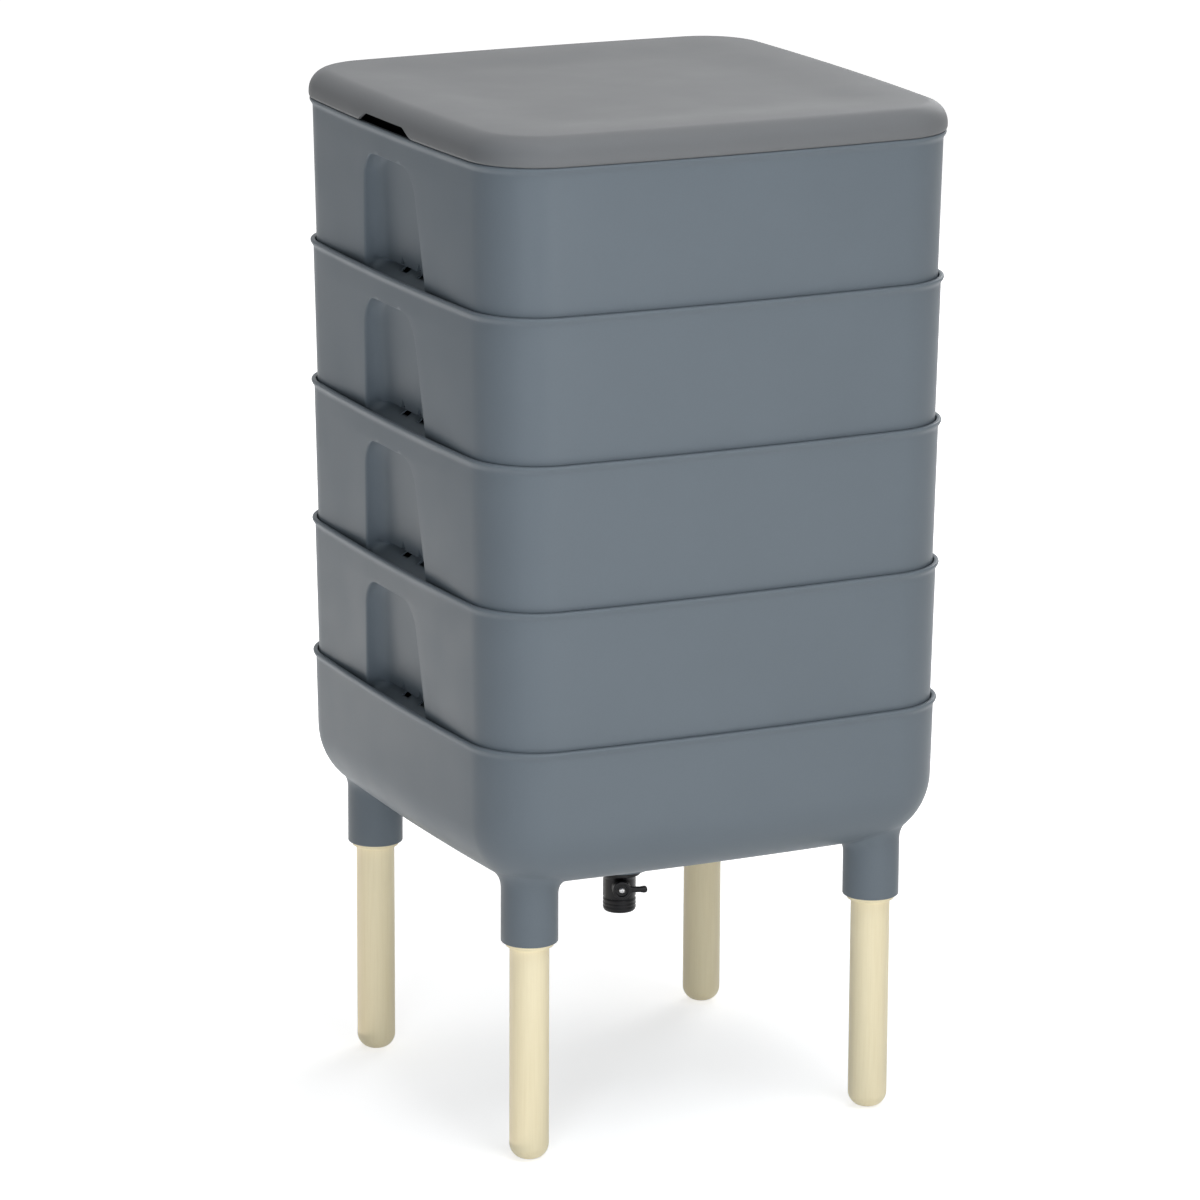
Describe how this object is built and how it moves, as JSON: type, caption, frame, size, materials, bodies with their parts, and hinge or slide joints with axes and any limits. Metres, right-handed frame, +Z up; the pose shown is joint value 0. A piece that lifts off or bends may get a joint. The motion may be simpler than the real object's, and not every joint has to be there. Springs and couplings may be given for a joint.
{
  "type": "wormery",
  "caption": "Stacking worm composter with nested perforated square trays, a lid, a bowl-shaped base on round wooden legs and a lever tap underneath.",
  "frame": {"origin": "centre of the object's footprint on the floor", "axes": "+Z up along the stack; -Y towards the front, with the hand recesses in the -X and +X sides"},
  "size_m": [0.3748, 0.3756, 0.7442],
  "materials": {
    "grey_plastic": "satin moulded plastic, blue-grey",
    "lid_plastic": "satin moulded plastic, a lighter neutral grey",
    "pale_wood": "turned pale wood with a thin clear varnish",
    "black_plastic": "moulded black plastic",
    "dark_rubber": "smooth dark rubber",
    "white_plastic": "smooth white plastic",
    "steel": "plain steel screw"
  },
  "bodies": {
    "base": {"base": "grey_plastic", "leg_front_left": "pale_wood", "leg_front_right": "pale_wood", "leg_back_left": "pale_wood", "leg_back_right": "pale_wood", "tap_body": "black_plastic", "tap_outer_gasket": "dark_rubber", "tap_inner_gasket": "dark_rubber", "tap_lock_nut": "black_plastic", "tap_outlet_collar": "black_plastic", "tap_upper_seat": "white_plastic", "tap_lower_seat": "white_plastic", "tap_stem_seal": "dark_rubber"},
    "tray_1": {"tray_1": "grey_plastic"},
    "tray_2": {"tray_2": "grey_plastic"},
    "tray_3": {"tray_3": "grey_plastic"},
    "tray_4": {"tray_4": "grey_plastic"},
    "lid": {"lid": "lid_plastic"},
    "lever": {"tap_lever": "black_plastic", "tap_lever_screw": "steel", "tap_stem": "black_plastic", "tap_ball": "white_plastic"}
  },
  "joints": [
    {"name": "tray_1_lift", "type": "slide", "parent": "base", "child": "tray_1", "axis": [0, 0, 1], "range_m": [0, 0.1]},
    {"name": "tray_2_lift", "type": "slide", "parent": "tray_1", "child": "tray_2", "axis": [0, 0, 1], "range_m": [0, 0.1]},
    {"name": "tray_3_lift", "type": "slide", "parent": "tray_2", "child": "tray_3", "axis": [0, 0, 1], "range_m": [0, 0.1]},
    {"name": "tray_4_lift", "type": "slide", "parent": "tray_3", "child": "tray_4", "axis": [0, 0, 1], "range_m": [0, 0.1]},
    {"name": "lid_lift", "type": "slide", "parent": "tray_4", "child": "lid", "axis": [0, 0, 1], "range_m": [0, 0.1]},
    {"name": "lever_turn", "type": "hinge", "parent": "base", "child": "lever", "pos_m": [0, 0, 0.149], "axis": [0.342, 0.9397, 0], "range_deg": [0, 90]}
  ]
}
